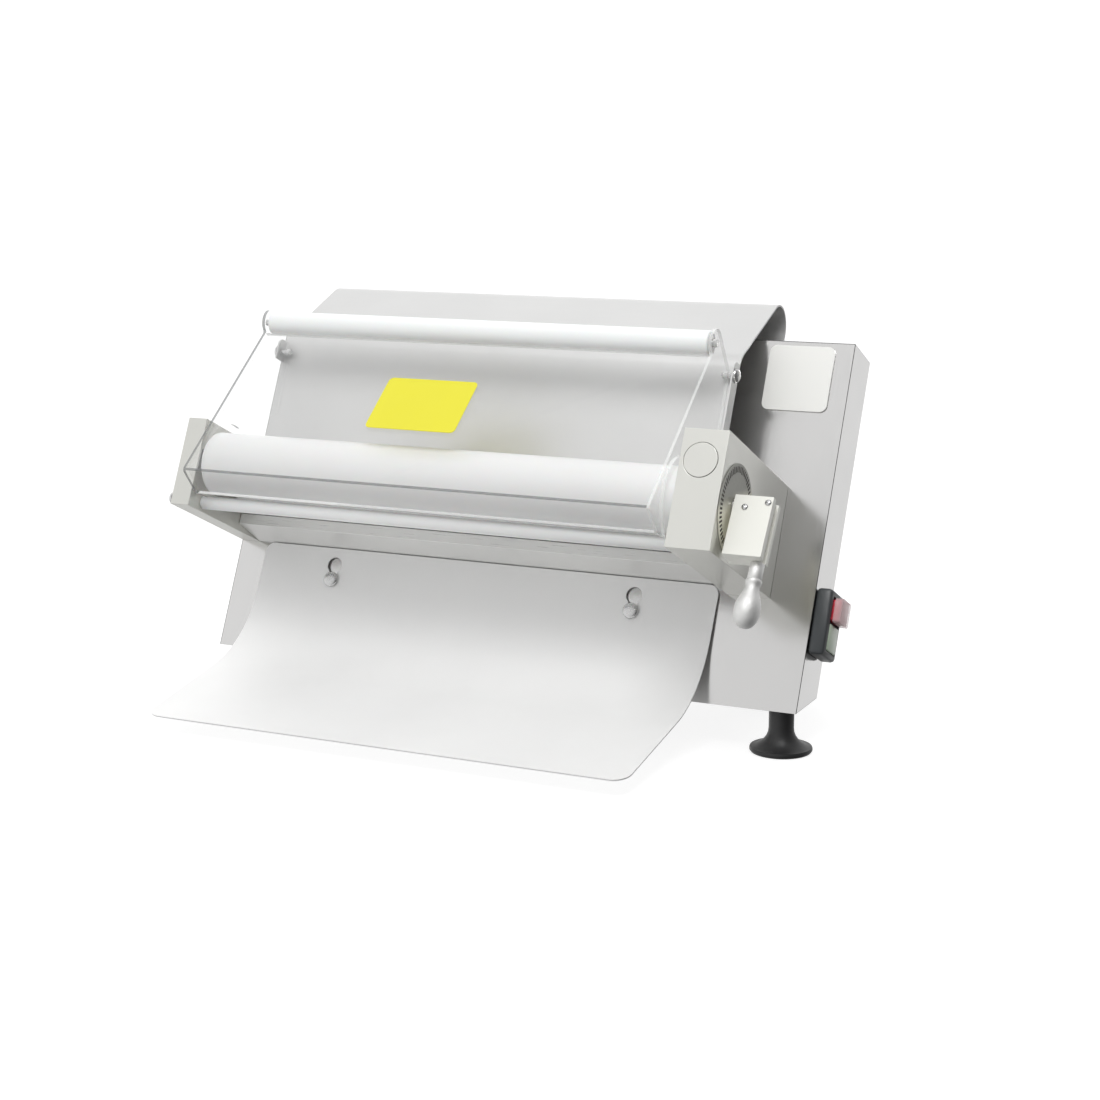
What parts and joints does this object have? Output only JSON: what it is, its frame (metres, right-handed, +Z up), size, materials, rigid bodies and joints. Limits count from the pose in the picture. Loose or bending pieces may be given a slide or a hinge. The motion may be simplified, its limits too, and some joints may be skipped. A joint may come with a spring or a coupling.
{
  "type": "dough sheeter",
  "caption": "Countertop dough sheeter with paired rollers, hinged clear guard, feed chute, curved outfeed tray, gap lever and side switch.",
  "frame": {"origin": "bottom centre of the bounding box, on the surface that the feet stand on", "axes": "+Z up, +X to the machine's right as seen from the front, -Y towards the user"},
  "size_m": [0.5902, 0.3776, 0.3546],
  "materials": {
    "stainless_steel": "fine brushed",
    "satin_sheet": "satin sheet",
    "machined_steel": "machined",
    "cast_aluminium": "satin cast",
    "cream_enamel": "satin enamel",
    "white_plastic": "smooth food-grade plastic",
    "clear_plastic": "clear polycarbonate",
    "black_rubber": "matt",
    "dark_plastic": "fine moulded texture",
    "red_plastic": "gloss",
    "green_plastic": "gloss",
    "badge_plastic": "gloss",
    "yellow_film": "satin film",
    "motor_enamel": "satin enamel"
  },
  "bodies": {
    "root": {"housing_shell": "stainless_steel", "rear_plate": "stainless_steel", "motor_casing": "stainless_steel", "base_plate": "stainless_steel", "foot_front_left": "black_rubber", "foot_front_right": "black_rubber", "foot_rear_left": "black_rubber", "foot_rear_right": "black_rubber", "cable_gland": "dark_plastic", "left_arm_casing": "cream_enamel", "left_arm_bolt": "machined_steel", "right_arm_casing": "cream_enamel", "arm_plug": "cream_enamel", "rear_bush_left": "machined_steel", "rear_bush_right": "machined_steel", "drive_chain": "machined_steel", "gearmotor": "motor_enamel", "motor_bracket": "machined_steel", "run_capacitor": "white_plastic", "terminal_block": "white_plastic", "gap_dial": "machined_steel", "feed_chute": "satin_sheet", "chute_standoff_left": "machined_steel", "chute_standoff_right": "machined_steel", "cross_member": "stainless_steel", "lower_rod": "machined_steel", "guard_pivot_bolt_left": "machined_steel", "guard_pivot_bolt_right": "machined_steel", "tray_pin_left": "machined_steel", "tray_pin_right": "machined_steel", "switch_box": "dark_plastic", "badge": "badge_plastic"},
    "rear_roller_body": {"rear_roller": "white_plastic", "rear_roller_shaft": "machined_steel", "rear_roller_gear": "machined_steel", "roller_sprocket": "machined_steel"},
    "front_carriage": {"front_bearing_block_left": "machined_steel", "front_bearing_block_right": "machined_steel"},
    "front_roller_body": {"front_roller": "white_plastic", "front_roller_shaft": "machined_steel", "front_roller_gear": "machined_steel"},
    "motor_output": {"motor_shaft": "machined_steel", "motor_sprocket": "machined_steel"},
    "gap_lever": {"gap_spindle": "machined_steel", "gap_cam": "machined_steel", "lever_hub": "machined_steel", "lever_block": "cream_enamel", "block_screw_inner": "machined_steel", "block_screw_outer": "machined_steel", "lever_stem": "machined_steel", "lever_handle": "cast_aluminium"},
    "guard_body": {"guard": "clear_plastic", "guard_label": "yellow_film", "guard_roller_axle": "machined_steel"},
    "guide_roller": {"guard_roller": "white_plastic"},
    "tray_body": {"tray": "satin_sheet"},
    "stop_button_body": {"stop_button": "red_plastic", "stop_button_cap": "clear_plastic"},
    "start_button_body": {"start_button": "green_plastic"}
  },
  "joints": [
    {"name": "rear_roller_spin", "type": "hinge", "parent": "root", "child": "rear_roller_body", "pos_m": [0, -0.01499, 0.19027], "axis": [1, 0, 0], "continuous": true},
    {"name": "roller_gap", "type": "slide", "parent": "root", "child": "front_carriage", "axis": [0, -0.9063, 0.4226], "range_m": [0, 0.004]},
    {"name": "front_roller_spin", "type": "hinge", "parent": "front_carriage", "child": "front_roller_body", "pos_m": [0, -0.0662, 0.21415], "axis": [1, 0, 0], "continuous": true},
    {"name": "motor_spin", "type": "hinge", "parent": "root", "child": "motor_output", "pos_m": [0.1931, 0.08083, 0.126], "axis": [1, 0, 0], "continuous": true},
    {"name": "gap_lever_turn", "type": "hinge", "parent": "root", "child": "gap_lever", "pos_m": [0.2431, -0.0788, 0.21197], "axis": [-1, 0, 0], "range_deg": [0, 110]},
    {"name": "guard_hinge", "type": "hinge", "parent": "root", "child": "guard_body", "pos_m": [0, 0.03962, 0.30383], "axis": [-1, 0, 0], "range_deg": [0, 60]},
    {"name": "guide_roller_spin", "type": "hinge", "parent": "guard_body", "child": "guide_roller", "pos_m": [0, 0.01242, 0.33307], "axis": [1, 0, 0], "continuous": true},
    {"name": "tray_release", "type": "slide", "parent": "root", "child": "tray_body", "axis": [0, 0.4226, 0.9063], "range_m": [-0.014, 0]},
    {"name": "stop_button_press", "type": "slide", "parent": "root", "child": "stop_button_body", "axis": [-1, 0, 0], "range_m": [0, 0.003], "stiffness_N_per_m": 600, "springref_m": -0.001},
    {"name": "start_button_press", "type": "slide", "parent": "root", "child": "start_button_body", "axis": [-1, 0, 0], "range_m": [0, 0.003], "stiffness_N_per_m": 600, "springref_m": -0.001}
  ],
  "couplings": [
    {"joint": "front_roller_spin", "follows": "rear_roller_spin", "ratio": -1},
    {"joint": "motor_spin", "follows": "rear_roller_spin", "ratio": 1},
    {"joint": "roller_gap", "follows": "gap_lever_turn", "m_per_rad": 0.00208}
  ]
}
